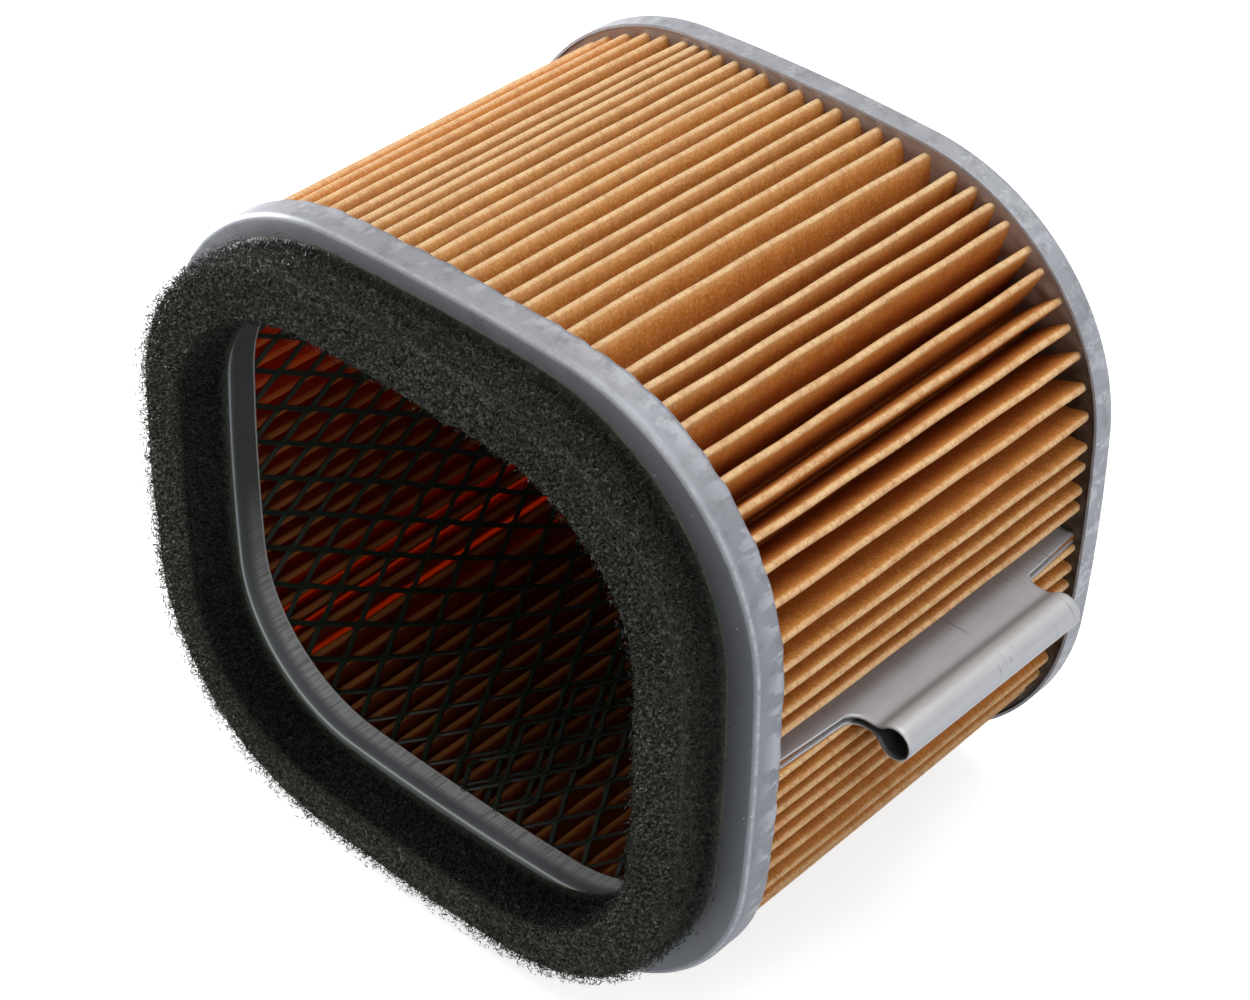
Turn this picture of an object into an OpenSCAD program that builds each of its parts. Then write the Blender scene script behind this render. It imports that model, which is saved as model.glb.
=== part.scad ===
// Pleated panel-ring air filter for a motorcycle air box.
// A folded paper ring is bedded in two pressed steel end caps with soft potting.
// Air passes inwards through the pleats and leaves through the front opening,
// which a foam ring seals against the air box. The rear end cap is closed.
//
// The element lies on its flat lower side: X to the right, Y towards the rear, Z up.
// The origin is the centre of the rear end cap's outer face.
// Every sub-part is drawn standing on that face and then laid down by upright().

/* [Outline of the end caps] */
// Overall width across the flanges
body_w = 132; // [124:1:146]
// Overall height across the flanges
body_h = 123; // [116:1:136]
// Radius of the four corners
corner_r = 43; // [36:1:48]
// Degrees that half of the left or right side turns through in its gentle bow
side_turn = 3; // [2:0.1:4]
// Degrees that half of the top or bottom turns through in its gentle bow
top_turn = 3.3; // [2:0.1:4]

/* [Length of the body] */
// Distance between the outer faces of the two end caps
body_l = 91; // [70:1:120]

/* [End caps] */
// Thickness of the pressed steel sheet
sheet_t = 0.5; // [0.4:0.1:0.8]
// Outside radius of the pressed bends
bend_r = 1.2; // [1:0.1:1.6]
// Width of the channel that holds the ends of the paper
channel_w = 14.6; // [13:0.2:17]
// Length of the front cap's outer flange
front_flange_l = 6; // [5:0.5:9]
// Length of the collar round the front opening
collar_l = 6; // [5:0.5:9]
// Length of the rear cap's outer flange
rear_flange_l = 5; // [4.5:0.5:8]
// Depth of the pressed-in middle of the rear cap
rear_dish = 5; // [4:0.5:8]

/* [Potting] */
// Distance that the potting stays below the flange edges
potting_shy = 0.5; // [0.3:0.1:1.5]
// Depth that the paper is bedded into the potting
paper_bed = 1.5; // [1:0.1:2.5]

/* [Pleated paper] */
// Thickness of the filter paper
paper_t = 0.4; // [0.3:0.05:0.5]
// Number of pleat pitches round the ring, of which the seam clip takes one
pleat_count = 92; // [60:1:96]
// Distance of the outer folds inside the flanges' outer surface
tip_inset = 1.2; // [1:0.1:3]
// Outside radius of the folds
fold_r = 0.65; // [0.55:0.05:0.7]
// Clearance between the inner folds and the screen
root_gap = 0.2; // [0.1:0.1:0.6]
// Largest sideways wander of an outer fold from even spacing
tip_wander = 0.35; // [0:0.05:0.4]
// Distance that the outer folds lean along the ring
tip_lean = 0.85; // [0:0.05:0.9]
// Furthest that a bunch of outer folds is pushed along the ring
bunch_push = 3.3; // [0:0.1:3.6]
// Number of pleat pitches in a bunch
bunch_pleats = 13.66; // [12.5:0.01:15]
// Number of pleat pitches from the seam to where the first bunch starts
first_bunch = 1.49; // [1:0.01:2]
// Push of the second bunch beside that of the first
second_bunch = 1.3; // [1:0.05:1.4]
// The same for the third bunch, which is pushed back where this is below 0
third_bunch = -1.35; // [-1.4:0.05:1.4]

/* [Inner screen] */
// Thickness of the expanded metal
screen_t = 0.6; // [0.4:0.1:1]
// Number of diamonds round the ring
mesh_columns = 45; // [36:1:50]
// Length of one diamond along the element, strand centre to strand centre
mesh_pitch = 13.4; // [10:0.1:16]
// Width of a strand
strand_w = 1.3; // [1:0.1:1.8]

/* [Foam seal] */
// Free thickness of the foam ring
foam_t = 9.7; // [8:0.1:15]
// Width of the foam section
foam_w = 11.4; // [9:0.1:12.5]
// Distance of the foam inside the cap's outline, left and right
foam_inset_x = 4.5; // [3:0.1:6]
// Distance of the foam inside the cap's outline, top and bottom
foam_inset_z = 3; // [2.6:0.1:5]
// How much less the foam's outside corner radius is than the cap's
foam_corner_less = 2; // [1:0.5:4]
// Radius of the foam's front edges
foam_edge_r = 1.5; // [0.4:0.1:2]
// Sideways offset of the foam, as it is glued by hand
foam_shift_x = -1.6; // [-2:0.1:2]
// Upward offset of the foam, as it is glued by hand
foam_shift_z = -0.8; // [-1:0.1:1]
// Thickness of the adhesive film under the foam
glue_t = 0.3; // [0.2:0.1:0.6]

/* [Seam clip] */
// Thickness of the clip's sheet
clip_t = 0.5; // [0.4:0.1:0.7]
// Gap that the glue line leaves between the paper's two ends
seam_gap = 0.1; // [0.05:0.05:0.2]
// Width of the two leaves that clamp the paper
leaf_w = 6; // [4:0.5:7]
// Distance of the leaves' outer edges inside the flanges' outer surface
leaf_inset = 2; // [1.5:0.1:4]
// Distance of the seam below the middle of the right side
seam_drop = 0.9; // [0:0.1:4]
// Distance of the seam below the middle of the gap in the pleats that holds the clip
seam_offset = 1.15; // [0.9:0.05:1.2]
// Outside diameter of the grip loop
loop_d = 6.4; // [5:0.1:9]
// Distance of the loop's axis outside the flanges' outer surface
loop_reach = 7.1; // [6:0.1:12]
// Distance of the loop's axis below the seam
loop_drop = 0.7; // [0:0.1:1]
// Inside radius of the neck between the leaves and the loop
neck_r = 3; // [2:0.1:3.5]
// Length of the loop along the element
loop_l = 45.5; // [30:0.5:55]
// Distance of the loop's middle from the middle of the body, towards the rear
loop_offset = 2.5; // [0:0.1:5]
// Radius of the notches where the loop is cut away from the leaves
notch_r = 3.5; // [2:0.1:4]

/* [Hidden] */

// Colours
zinc_plate = [0.67, 0.69, 0.74];
bright_steel = [0.72, 0.72, 0.72];
paper_tan = [0.78, 0.55, 0.30];
screen_green = [0.16, 0.20, 0.16];
potting_brown = [0.33, 0.27, 0.24];
foam_charcoal = [0.18, 0.19, 0.18];
glue_yellow = [0.60, 0.57, 0.42];

// Facets of full circles
arc_fn = 360;
bend_fn = 48;

// Channel between the flange and the collar
channel_in = channel_w - sheet_t;
front_bed_z = body_l - front_flange_l + potting_shy;
rear_bed_z = rear_flange_l - potting_shy;

// An outline: nine arcs, each [centre x, centre y, radius, first angle, last angle],
// counter-clockwise from the middle of the right side. The bow radii of the sides follow
// from the width, the height, the corner radius and the two turns.
function outline_arcs(w, h, r, side, top) =
    let (k = tan(top / 2),
         side_r = (h / 2 - r + r * sin(side) - (w / 2 - r * cos(side)) * k)
                  / (sin(side) - (1 - cos(side)) * k),
         top_r = r + (w / 2 - r * cos(side) - side_r * (1 - cos(side))) / sin(top),
         side_x = w / 2 - side_r,
         top_y = h / 2 - top_r,
         x = side_x + (side_r - r) * cos(side),
         y = (side_r - r) * sin(side))
    [[side_x, 0, side_r, 0, side],
     [x, y, r, side, 90 - top],
     [0, top_y, top_r, 90 - top, 90 + top],
     [-x, y, r, 90 + top, 180 - side],
     [-side_x, 0, side_r, 180 - side, 180 + side],
     [-x, -y, r, 180 + side, 270 - top],
     [0, -top_y, top_r, 270 - top, 270 + top],
     [x, -y, r, 270 + top, 360 - side],
     [side_x, 0, side_r, 360 - side, 360]];

cap_arcs = outline_arcs(body_w, body_h, corner_r, side_turn, top_turn);
foam_arcs = outline_arcs(body_w - 2 * foam_inset_x, body_h - 2 * foam_inset_z,
                         corner_r - foam_corner_less, side_turn, top_turn);

// Length of one arc, and of the whole outline, at an inset
function arc_length(arc, inset) = (arc[2] - inset) * (arc[4] - arc[3]) * PI / 180;
function outline_length(arcs, inset, i = 0) =
    i == len(arcs) ? 0 : arc_length(arcs[i], inset) + outline_length(arcs, inset, i + 1);

// The arc and angle at distance s along the outline at an inset: [arc number, angle]
function station(arcs, inset, s, i = 0) =
    let (here = arc_length(arcs[i], inset))
    s <= here || i == len(arcs) - 1
        ? [i, arcs[i][3] + s / (arcs[i][2] - inset) * 180 / PI]
        : station(arcs, inset, s - here, i + 1);

// The point at a station, at an inset
function outline_point(arcs, at, inset) =
    let (arc = arcs[at[0]])
    [arc[0], arc[1]] + (arc[2] - inset) * [cos(at[1]), sin(at[1])];

// Corner points of the outline at an inset, with arcs stepped by about step degrees
function outline_points(arcs, inset, step = 3) =
    [for (arc = arcs)
        let (n = max(2, ceil((arc[4] - arc[3]) / step)))
        for (k = [0:n - 1])
            [arc[0], arc[1]] + (arc[2] - inset)
                * [cos(arc[3] + (arc[4] - arc[3]) * k / n), sin(arc[3] + (arc[4] - arc[3]) * k / n)]];

// Lays the element on its lower side: the height above the rear face becomes -Y
module upright() {
    rotate([90, 0, 0])
        children();
}

// Moves by v in a coarse and a fine step, so that a long coordinate keeps all its digits
// and neighbouring arcs meet exactly
module place(v) {
    coarse = [for (c = v) round(c * 100) / 100];
    translate(coarse)
        translate(v - coarse)
            children();
}

// Sweeps a section round an outline. In the section x is the distance outside the
// outline, so it is negative inside it, and y is the height above the rear face.
module sweep(arcs) {
    for (arc = arcs)
        place([arc[0], arc[1], 0])
            rotate_extrude(angle = arc[4] - arc[3], start = arc[3], $fn = arc_fn)
                place([arc[2], 0])
                    children();
}

// Rectangle in a section, from inset in_a to in_b and from height z_a to z_b
module band(in_a, in_b, z_a, z_b) {
    translate([-in_b, z_a])
        square([in_b - in_a, z_b - z_a]);
}

// Quarter of a round section: its centre, its radius and the quadrant it lies in
module quarter(centre, r, quadrant) {
    translate(centre)
        intersection() {
            circle(r = r, $fn = bend_fn);
            translate([quadrant.x < 0 ? -r : 0, quadrant.y < 0 ? -r : 0])
                square(r);
        }
}

// Section of a bend in the sheet: the centre, and the quadrant it lies in
module bend(centre, quadrant) {
    difference() {
        quarter(centre, bend_r, quadrant);
        translate(centre)
            circle(r = bend_r - sheet_t, $fn = bend_fn);
    }
}

// Section of the pressed channel that both caps share, open upwards, with its floor at
// height 0: a flange on the outside and a wall on the inside
module channel_section(flange_l, wall_l) {
    band(0, sheet_t, bend_r, flange_l);
    bend([-bend_r, bend_r], [1, -1]);
    band(bend_r, channel_w - bend_r, 0, sheet_t);
    bend([-channel_w + bend_r, bend_r], [-1, -1]);
    band(channel_in, channel_w, bend_r, wall_l);
}

// Front cap: a pressed ring whose channel opens to the rear
module front_end_cap() {
    color(zinc_plate)
        upright()
            translate([0, 0, body_l])
                mirror([0, 0, 1])
                    sweep(cap_arcs)
                        channel_section(front_flange_l, collar_l);
}

// Rear cap: the same channel, closed by a dished middle
module rear_end_cap() {
    dish_edge = channel_in + bend_r;
    color(zinc_plate)
        upright() {
            sweep(cap_arcs) {
                channel_section(rear_flange_l, rear_dish - bend_r);
                bend([-dish_edge, rear_dish - bend_r], [1, 1]);
                band(dish_edge, dish_edge + bend_r, rear_dish - sheet_t, rear_dish);
            }
            translate([0, 0, rear_dish - sheet_t])
                linear_extrude(sheet_t)
                    polygon(outline_points(cap_arcs, dish_edge + bend_r / 2));
        }
}

// Zigzag of the paper. Tips and roots lie on the fold centres.
tip_in = tip_inset + fold_r;
root_in = channel_in - screen_t - root_gap - fold_r;
root_length = outline_length(cap_arcs, root_in);
pleat_pitch = root_length / pleat_count;
// Radius of the paper's middle round a fold centre
fold_c = fold_r - paper_t / 2;
// Steps round the outside and the inside of a fold
fold_steps = 3;
crease_steps = 1;
// Middle of each paper end beside the seam plane
seam_half = (paper_t + seam_gap) / 2;
leaf_out_x = body_w / 2 - leaf_inset;
leaf_in_x = leaf_out_x - leaf_w;

// How sharply a bunch starts, and how much of its push the inner folds follow
bunch_power = 0.7;
root_share = 0.5;

// Station at distance s along the root line, with the gap for the clip at 0
function root_at(s) =
    station(cap_arcs, root_in, (s + seam_offset - seam_drop + root_length) % root_length);
// Uneven spacing of the outer folds
function wander(n) = tip_wander * (0.6 * sin(n * 67) + 0.4 * sin(n * 151 + 40));
function bunch_share(n) =
    let (b = floor((n - first_bunch) / bunch_pleats))
    b == 1 ? second_bunch : b == 2 ? third_bunch : 1;
// Push of the bunches, n pitches from the seam; it fades round the ring
function push(n) =
    bunch_push * bunch_share(n) * (1 - pow(n / pleat_count, 2))
        * pow(abs(sin(180 * (n - first_bunch) / bunch_pleats)), bunch_power);

// Fold centres in order: root, tip, root, ... root
fold_centres = [for (k = [1:2 * pleat_count - 1])
    let (n = k / 2, s = n * pleat_pitch)
    k % 2 == 1
        ? outline_point(cap_arcs, root_at(s + push(n) * root_share), root_in)
        : outline_point(cap_arcs, root_at(s + push(n) + tip_lean + wander(n)), tip_in)];

function heading(v) = atan2(v.y, v.x);
function to_angle(a) = [cos(a), sin(a)];
fold_last = len(fold_centres) - 1;
// Ends of the paper at the clip's inner edge
seam_start = [leaf_in_x, seam_half - seam_drop];
seam_end = [leaf_in_x, -seam_half - seam_drop];

// Heading of the flank that leaves fold i. A tip turns left and a root turns right, so
// a flank crosses from one side of the line between the centres to the other.
function flank_heading(i) =
    i < 0
        ? let (v = fold_centres[0] - seam_start) heading(v) + asin(fold_c / norm(v))
    : i == fold_last
        ? let (v = seam_end - fold_centres[i]) heading(v) - asin(fold_c / norm(v))
    : let (v = fold_centres[i + 1] - fold_centres[i],
           lean = asin(2 * fold_c / norm(v)))
      heading(v) + (i % 2 == 1 ? lean : -lean);

// Turn at fold i, positive to the left
function fold_turn(i) =
    let (turn = flank_heading(i) - flank_heading(i - 1))
    i % 2 == 1 ? (turn + 720) % 360 : (turn - 720) % 360;

// Points of one face of the paper round fold i; side is 1 for the left face, -1 for the right
function fold_points(i, side) =
    let (is_tip = i % 2 == 1,
         outside = is_tip ? side < 0 : side > 0,
         r = outside ? fold_r : fold_r - paper_t,
         n = outside ? fold_steps : crease_steps,
         first = flank_heading(i - 1) + (is_tip ? -90 : 90))
    [for (k = [0:n]) fold_centres[i] + r * to_angle(first + fold_turn(i) * k / n)];

// Points of a paper end inside the clip, from its outer end inwards
function end_points(y) = [[leaf_out_x - sheet_t, y], [leaf_in_x, y]];
function reversed(list) = [for (i = [len(list) - 1:-1:0]) list[i]];

function paper_face(side) =
    concat(end_points(seam_start.y - side * paper_t / 2),
           [for (i = [0:fold_last]) each fold_points(i, side)],
           reversed(end_points(seam_end.y + side * paper_t / 2)));

module paper_shape() {
    polygon(concat(paper_face(1), reversed(paper_face(-1))));
}

paper_z = [rear_bed_z - paper_bed, front_bed_z + paper_bed];

module paper_body() {
    translate([0, 0, paper_z[0]])
        linear_extrude(paper_z[1] - paper_z[0])
            paper_shape();
}

module pleated_paper() {
    color(paper_tan)
        upright()
            paper_body();
}

// Section of the potting in a channel with its floor at height 0
module potting_section(depth) {
    band(sheet_t, channel_in, bend_r, depth);
    band(bend_r, channel_w - bend_r, sheet_t, bend_r);
}

// Leaves room for the paper that is bedded in the potting
module round_the_paper() {
    color(potting_brown)
        upright()
            difference() {
                children();
                paper_body();
            }
}

module front_potting() {
    round_the_paper()
        translate([0, 0, body_l])
            mirror([0, 0, 1])
                sweep(cap_arcs)
                    potting_section(body_l - front_bed_z);
}

module rear_potting() {
    round_the_paper()
        sweep(cap_arcs)
            potting_section(rear_bed_z);
}

// Screen: expanded metal rolled into a ring against the collar
screen_in = channel_in - screen_t / 2;
screen_length = outline_length(cap_arcs, screen_in);
mesh_w = screen_length / mesh_columns;
mesh_slope = sqrt(pow(mesh_w / 2, 2) + pow(mesh_pitch / 2, 2));
// Half width and half height of a hole, with a strand's width taken off its four sides
hole_half_w = mesh_w / 2 - strand_w / 2 * mesh_slope / (mesh_pitch / 2);
hole_half_h = mesh_pitch / 2 - strand_w / 2 * mesh_slope / (mesh_w / 2);
screen_z = [rear_bed_z, front_bed_z];
mesh_rows = ceil((screen_z[1] - screen_z[0]) / mesh_pitch);

// One column of holes, cut outwards along X. Odd columns are half a diamond higher.
module hole_column(column) {
    rise = column % 2 == 0 ? 0 : mesh_pitch / 2;
    translate([-screen_t, 0, 0])
        rotate([90, 0, 90])
            linear_extrude(2 * screen_t)
                intersection() {
                    translate([-mesh_w, screen_z[0] + strand_w])
                        square([2 * mesh_w, screen_z[1] - screen_z[0] - 2 * strand_w]);
                    for (row = [0:mesh_rows])
                        translate([0, screen_z[0] + row * mesh_pitch + rise])
                            polygon([[hole_half_w, 0], [0, hole_half_h],
                                     [-hole_half_w, 0], [0, -hole_half_h]]);
                }
}

module inner_screen() {
    color(screen_green)
        upright()
            difference() {
                sweep(cap_arcs)
                    band(channel_in - screen_t, channel_in, screen_z[0], screen_z[1]);
                for (column = [0:2 * mesh_columns - 1])
                    let (at = station(cap_arcs, screen_in, column * screen_length / (2 * mesh_columns)))
                        translate(outline_point(cap_arcs, at, screen_in))
                            rotate([0, 0, at[1]])
                                hole_column(column);
            }
}

// Foam ring and its adhesive film, on the front cap's face
module on_front_face() {
    upright()
        translate([foam_shift_x, foam_shift_z, body_l])
            sweep(foam_arcs)
                children();
}

module foam_adhesive() {
    color(glue_yellow)
        on_front_face()
            band(0, foam_w, 0, glue_t);
}

module foam_seal() {
    top = glue_t + foam_t;
    color(foam_charcoal)
        on_front_face() {
            band(0, foam_w, glue_t, top - foam_edge_r);
            band(foam_edge_r, foam_w - foam_edge_r, top - foam_edge_r, top);
            quarter([-foam_edge_r, top - foam_edge_r], foam_edge_r, [1, 1]);
            quarter([foam_edge_r - foam_w, top - foam_edge_r], foam_edge_r, [-1, 1]);
        }
}

// Clip: one folded sheet. Two leaves clamp the paper's ends and meet in a grip loop.
loop_r = (loop_d - clip_t) / 2;
neck_c = neck_r + clip_t / 2;
loop_centre = [body_w / 2 + loop_reach, -loop_drop];
leaf_y = seam_half + (paper_t + clip_t) / 2;

// Centre of the neck's bend beside the leaf at height y: above the upper leaf, below the lower
function neck_centre(y) =
    let (cy = y + sign(y) * neck_c)
    [loop_centre.x - sqrt(pow(loop_r + neck_c, 2) - pow(cy - loop_centre.y, 2)), cy];

neck_up = neck_centre(leaf_y);
neck_down = neck_centre(-leaf_y);
a_up = heading(neck_up - loop_centre);
a_down = heading(neck_down - loop_centre);
bend_steps = 6;
loop_steps = 36;

// The sheet's surface at distance d to the left of its middle, from the upper leaf's inner
// edge round the loop to the lower leaf's inner edge
function clip_face(d) =
    concat([[leaf_in_x, leaf_y + d]],
           [for (k = [0:bend_steps])
               neck_up + (neck_c - d) * to_angle(-90 + (a_up - 90) * k / bend_steps)],
           [for (k = [1:loop_steps - 1])
               loop_centre + (loop_r + d) * to_angle(a_up + (a_down - a_up) * k / loop_steps)],
           [for (k = [0:bend_steps])
               neck_down + (neck_c - d)
                   * to_angle(180 + a_down + (-90 - a_down) * k / bend_steps)],
           [[leaf_in_x, -leaf_y - d]]);

// A notch beside the loop: everything outside the leaves, from height 0 upwards, with the
// corner next to the loop rounded
module notch() {
    reach = loop_reach + loop_d + leaf_inset;
    translate([leaf_out_x, 0, 0])
        rotate([90, 0, 0])
            linear_extrude(loop_d * 3, center = true) {
                translate([notch_r, 0])
                    square([reach, body_l]);
                translate([0, notch_r])
                    square([reach, body_l]);
                quarter([notch_r, notch_r], notch_r, [-1, -1]);
            }
}

module seam_clip() {
    loop_z = body_l / 2 - loop_offset;
    color(bright_steel)
        upright()
            translate([0, -seam_drop, 0])
                difference() {
                    translate([0, 0, rear_bed_z])
                        linear_extrude(front_bed_z - rear_bed_z)
                            polygon(concat(clip_face(clip_t / 2), reversed(clip_face(-clip_t / 2))));
                    translate([0, 0, loop_z + loop_l / 2])
                        notch();
                    translate([0, 0, loop_z - loop_l / 2])
                        mirror([0, 0, 1])
                            notch();
                }
}

front_end_cap();
rear_end_cap();
front_potting();
rear_potting();
pleated_paper();
seam_clip();
inner_screen();
foam_adhesive();
foam_seal();
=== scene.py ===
import math

import bpy
import numpy as np
from mathutils import Matrix, Vector
from mathutils.kdtree import KDTree


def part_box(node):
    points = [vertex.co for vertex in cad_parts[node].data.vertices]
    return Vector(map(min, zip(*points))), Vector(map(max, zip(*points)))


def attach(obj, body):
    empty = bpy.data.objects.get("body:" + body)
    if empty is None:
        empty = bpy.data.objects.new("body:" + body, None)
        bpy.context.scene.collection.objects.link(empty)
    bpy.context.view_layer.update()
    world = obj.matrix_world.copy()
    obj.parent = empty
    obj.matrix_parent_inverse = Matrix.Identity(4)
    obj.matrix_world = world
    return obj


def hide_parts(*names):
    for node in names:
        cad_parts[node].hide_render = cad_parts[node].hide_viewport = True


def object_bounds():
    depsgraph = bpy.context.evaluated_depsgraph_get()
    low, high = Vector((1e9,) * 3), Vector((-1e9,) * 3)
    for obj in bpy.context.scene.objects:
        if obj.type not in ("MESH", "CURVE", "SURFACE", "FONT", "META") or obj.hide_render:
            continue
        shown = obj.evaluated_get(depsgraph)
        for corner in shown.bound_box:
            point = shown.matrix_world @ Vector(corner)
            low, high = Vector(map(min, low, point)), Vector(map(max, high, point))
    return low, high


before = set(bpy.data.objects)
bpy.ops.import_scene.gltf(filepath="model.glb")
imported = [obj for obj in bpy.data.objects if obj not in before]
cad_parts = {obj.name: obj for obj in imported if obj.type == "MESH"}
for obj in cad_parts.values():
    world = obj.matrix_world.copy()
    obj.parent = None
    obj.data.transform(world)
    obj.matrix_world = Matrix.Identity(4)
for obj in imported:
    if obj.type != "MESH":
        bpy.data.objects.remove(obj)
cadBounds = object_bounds()
print("frame loaded")

mm = 0.001


# a socket that can be used in Python expressions
class Signal:
    def __init__(self, finish, socket):
        self.finish = finish
        self.socket = socket

    def mix(self, operation, first, second):
        return self.finish.add("ShaderNodeMath", {"operation": operation}, {0: first, 1: second})

    def __add__(self, other):
        return self.mix("ADD", self, other)

    def __radd__(self, other):
        return self.mix("ADD", other, self)

    def __sub__(self, other):
        return self.mix("SUBTRACT", self, other)

    def __rsub__(self, other):
        return self.mix("SUBTRACT", other, self)

    def __mul__(self, other):
        return self.mix("MULTIPLY", self, other)

    def __rmul__(self, other):
        return self.mix("MULTIPLY", other, self)


class Finish:
    # one material, or the world: add() makes any node, the rest are short cuts for what several use
    def __init__(self, name, kind=bpy.data.materials):
        self.owner = kind.new(name)
        self.owner.use_nodes = True
        self.tree = self.owner.node_tree
        self.tree.nodes.clear()
        self.place = self.add("ShaderNodeTexCoord", output="Object")

    def add(self, kind, settings=None, sockets=None, output=0):
        node = self.tree.nodes.new(kind)
        for key, value in (settings or {}).items():
            if key == "stops":
                self.setStops(node.color_ramp, value)
            else:
                setattr(node, key, value)
        for key, value in (sockets or {}).items():
            if isinstance(value, Signal):
                self.tree.links.new(value.socket, node.inputs[key])
            else:
                node.inputs[key].default_value = value
        return Signal(self, node.outputs[output]) if len(node.outputs) else node

    def setStops(self, ramp, stops):
        while len(ramp.elements) < len(stops):
            ramp.elements.new(0.5)
        for element, (position, colour) in zip(ramp.elements, stops):
            element.position = position
            element.color = asColour(colour)

    def noise(self, scale, detail=3.0, roughness=0.5, distortion=0.0, where=None):
        return self.add("ShaderNodeTexNoise", {}, {
            "Vector": where or self.place, "Scale": scale, "Detail": detail,
            "Roughness": roughness, "Distortion": distortion}, "Fac")

    def streaks(self, scale, turn=(0, 0, 0), detail=3.0, roughness=0.6):
        # noise with a scale of its own along each axis
        where = self.add("ShaderNodeMapping", {}, {"Vector": self.place, "Scale": scale, "Rotation": turn})
        return self.noise(1, detail, roughness, where=where)

    def cells(self, scale):
        return self.add("ShaderNodeTexVoronoi", {}, {"Vector": self.place, "Scale": scale}, "Distance")

    def ramp(self, value, stops):
        return self.add("ShaderNodeValToRGB", {"stops": stops}, {"Fac": value}, "Color")

    def position(self):
        # x, y and z of the shaded point in metres
        x = self.add("ShaderNodeSeparateXYZ", {}, {"Vector": self.place}, "X")
        return [Signal(self, x.socket.node.outputs[axis]) for axis in "XYZ"]

    def limits(self, value, low, high, outLow=0.0, outHigh=1.0):
        return self.add("ShaderNodeMapRange", {"clamp": True}, {
            "Value": value, "From Min": low, "From Max": high, "To Min": outLow, "To Max": outHigh}, "Result")

    def blend(self, factor, first, second):
        return self.add("ShaderNodeMix", {"data_type": "RGBA", "clamp_factor": True},
                        {0: factor, 6: asColour(first), 7: asColour(second)}, 2)

    def attribute(self, name):
        return self.add("ShaderNodeAttribute", {"attribute_name": name}, {}, "Fac")

    def bump(self, height, distance, strength=1.0, normal=None):
        sockets = {"Height": height, "Distance": distance, "Strength": strength}
        if normal:
            sockets["Normal"] = normal
        return self.add("ShaderNodeBump", {}, sockets, "Normal")

    def surface(self, shader, output="ShaderNodeOutputMaterial"):
        self.add(output, {}, {"Surface": shader})
        return self.owner

    def principled(self, **sockets):
        names = {"colour": "Base Color", "metallic": "Metallic", "roughness": "Roughness",
                 "normal": "Normal", "specular": "Specular IOR Level"}
        return self.add("ShaderNodeBsdfPrincipled", {},
                        {names[key]: value for key, value in sockets.items()}, "BSDF")


def asColour(value):
    return (*value, 1) if isinstance(value, tuple) and len(value) == 3 else value


def smoothNoise(shape, seed, waves, period):
    # soft noise of about -1 to 1 on positions in metres: a sum of random sine waves
    rng = np.random.default_rng(seed)
    total = np.zeros(np.broadcast_shapes(*[p.shape for p in shape]))
    for _ in range(waves):
        direction = rng.normal(size=len(shape))
        direction *= rng.uniform(0.6, 1.4) * 2 * math.pi / period / np.linalg.norm(direction)
        total = total + np.sin(sum(d * p for d, p in zip(direction, shape)) + rng.uniform(0, 2 * math.pi))
    return total / math.sqrt(waves)


def addObject(name, data):
    item = bpy.data.objects.new(name, data)
    bpy.context.scene.collection.objects.link(item)
    return item


def makeMesh(name, points, faces, material, attributes=None, smooth=True):
    # points is an array of xyz, faces a list of arrays of corner numbers, all faces of an array alike
    mesh = bpy.data.meshes.new(name)
    mesh.vertices.add(len(points))
    mesh.vertices.foreach_set("co", np.asarray(points, np.float32).ravel())
    corners = np.concatenate([f.ravel() for f in faces]).astype(np.int32)
    sizes = np.concatenate([np.full(len(f), f.shape[1]) for f in faces])
    starts = np.concatenate([[0], np.cumsum(sizes)[:-1]]).astype(np.int32)
    mesh.loops.add(len(corners))
    mesh.loops.foreach_set("vertex_index", corners)
    mesh.polygons.add(len(sizes))
    mesh.polygons.foreach_set("loop_start", starts)
    mesh.polygons.foreach_set("use_smooth", np.full(len(sizes), smooth))
    mesh.update(calc_edges=True)
    mesh.validate()
    for key, values in (attributes or {}).items():
        layer = mesh.attributes.new(key, "FLOAT", "POINT")
        layer.data.foreach_set("value", np.asarray(values, np.float32).ravel())
    mesh.materials.append(material)
    piece = addObject(name, mesh)
    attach(piece, "root")
    return piece


def dress(node, material):
    # gives a solid that is shown as it is its material
    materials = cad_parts[node].data.materials
    materials.clear()
    materials.append(material)


def gridFaces(rows, columns, wrapRows, wrapColumns, first=0):
    r = np.arange(rows if wrapRows else rows - 1)
    c = np.arange(columns if wrapColumns else columns - 1)
    r, c = np.meshgrid(r, c, indexing="ij")
    r2, c2 = (r + 1) % rows, (c + 1) % columns
    quads = np.stack([r * columns + c, r * columns + c2, r2 * columns + c2, r2 * columns + c], -1)
    return quads.reshape(-1, 4) + first


def sheetFaces(columns, rows):
    # for a loop of points that runs up one face of a folded sheet and back down the other
    i = np.arange(columns // 2 - 1)
    ends = np.stack([i, i + 1, columns - 2 - i, columns - 1 - i], -1) * rows
    return [gridFaces(columns, rows, True, False), ends, ends[:, ::-1] + rows - 1]


# every ring of the element follows one outline
outlineSettings = {
    "cornerRadius": 43 * mm,
    "sideTurn": 3.0,   # degrees that half of a side turns through
    "topTurn": 3.3,
}


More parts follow.
